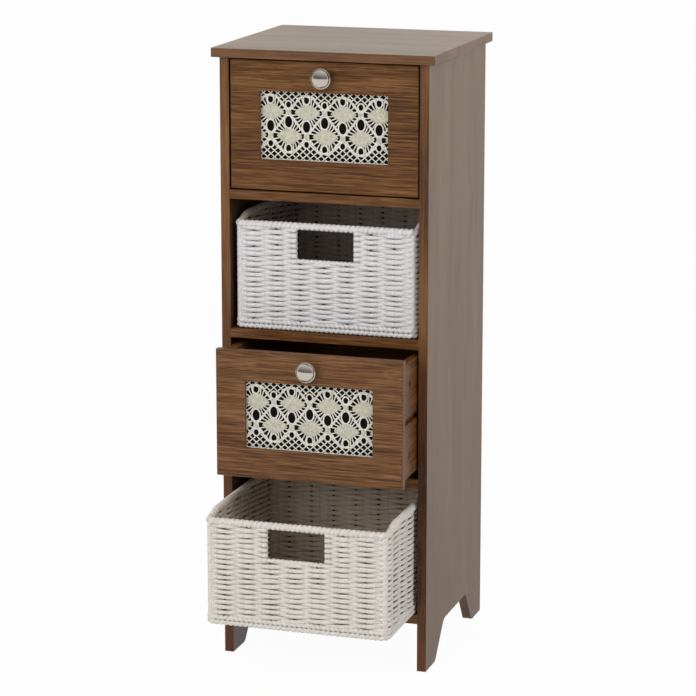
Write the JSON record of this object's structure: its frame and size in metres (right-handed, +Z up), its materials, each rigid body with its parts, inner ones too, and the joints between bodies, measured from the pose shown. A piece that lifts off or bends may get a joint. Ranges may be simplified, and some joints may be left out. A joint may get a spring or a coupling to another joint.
{
  "type": "bathroom storage tower",
  "caption": "Narrow walnut-laminate storage tower with inset lace-windowed drawers and woven paper-rope baskets in alternating compartments.",
  "frame": {"origin": "on the floor at the centre of the overall box in the pose shown: X = 0 is the cabinet's centre plane, and Y = 0 is midway between the drawn-out lower basket's front rim and the side panels' rear edges", "axes": "+Z up, the cabinet's height and longest extent; +X to the right of a person facing the front; +Y from the front to the back"},
  "size_m": [0.32, 0.4194, 0.87],
  "materials": {
    "walnut_laminate": "satin walnut-grain laminate",
    "dark_hardboard": "thin hardboard, matt",
    "beech_dowel": "plain beech",
    "zinc_hardware": "zinc-plated steel",
    "satin_nickel": "satin nickel",
    "paper_rope": "twisted paper rope, matt white",
    "cotton_lace": "ivory cotton",
    "black_backing": "matt black board"
  },
  "bodies": {
    "cabinet": {"top_board": "walnut_laminate", "left_side_panel": "walnut_laminate", "right_side_panel": "walnut_laminate", "upper_shelf": "walnut_laminate", "middle_shelf": "walnut_laminate", "lower_shelf": "walnut_laminate", "bottom_board": "walnut_laminate", "back_panel": "dark_hardboard", "board_dowels": "beech_dowel", "board_cam_bolts": "zinc_hardware", "board_cam_locks": "zinc_hardware", "upper_left_runner": "walnut_laminate", "upper_right_runner": "walnut_laminate", "lower_left_runner": "walnut_laminate", "lower_right_runner": "walnut_laminate", "runner_screws": "zinc_hardware"},
    "upper_drawer": {"upper_drawer_front": "walnut_laminate", "upper_drawer_lace": "cotton_lace", "upper_drawer_lace_backing": "black_backing", "upper_drawer_backing_screws": "zinc_hardware", "upper_drawer_left_side": "walnut_laminate", "upper_drawer_right_side": "walnut_laminate", "upper_drawer_back": "walnut_laminate", "upper_drawer_bottom": "dark_hardboard", "upper_drawer_cam_bolts": "zinc_hardware", "upper_drawer_cam_locks": "zinc_hardware", "upper_drawer_back_screws": "zinc_hardware", "upper_drawer_knob": "satin_nickel", "upper_drawer_knob_screw": "zinc_hardware"},
    "lower_drawer": {"lower_drawer_front": "walnut_laminate", "lower_drawer_lace": "cotton_lace", "lower_drawer_lace_backing": "black_backing", "lower_drawer_backing_screws": "zinc_hardware", "lower_drawer_left_side": "walnut_laminate", "lower_drawer_right_side": "walnut_laminate", "lower_drawer_back": "walnut_laminate", "lower_drawer_bottom": "dark_hardboard", "lower_drawer_cam_bolts": "zinc_hardware", "lower_drawer_cam_locks": "zinc_hardware", "lower_drawer_back_screws": "zinc_hardware", "lower_drawer_knob": "satin_nickel", "lower_drawer_knob_screw": "zinc_hardware"},
    "upper_basket": {"upper_basket_weave": "paper_rope", "upper_basket_rim": "paper_rope", "upper_basket_wire_frame": "zinc_hardware"},
    "lower_basket": {"lower_basket_weave": "paper_rope", "lower_basket_rim": "paper_rope", "lower_basket_wire_frame": "zinc_hardware"}
  },
  "joints": [
    {"name": "upper_drawer_slide", "type": "slide", "parent": "cabinet", "child": "upper_drawer", "axis": [0, -1, 0], "range_m": [0, 0.2]},
    {"name": "lower_drawer_slide", "type": "slide", "parent": "cabinet", "child": "lower_drawer", "axis": [0, -1, 0], "range_m": [-0.068, 0.132]},
    {"name": "upper_basket_slide", "type": "slide", "parent": "cabinet", "child": "upper_basket", "axis": [0, -1, 0], "range_m": [0, 0.285]},
    {"name": "lower_basket_slide", "type": "slide", "parent": "cabinet", "child": "lower_basket", "axis": [0, -1, 0], "range_m": [-0.13, 0.155]}
  ]
}
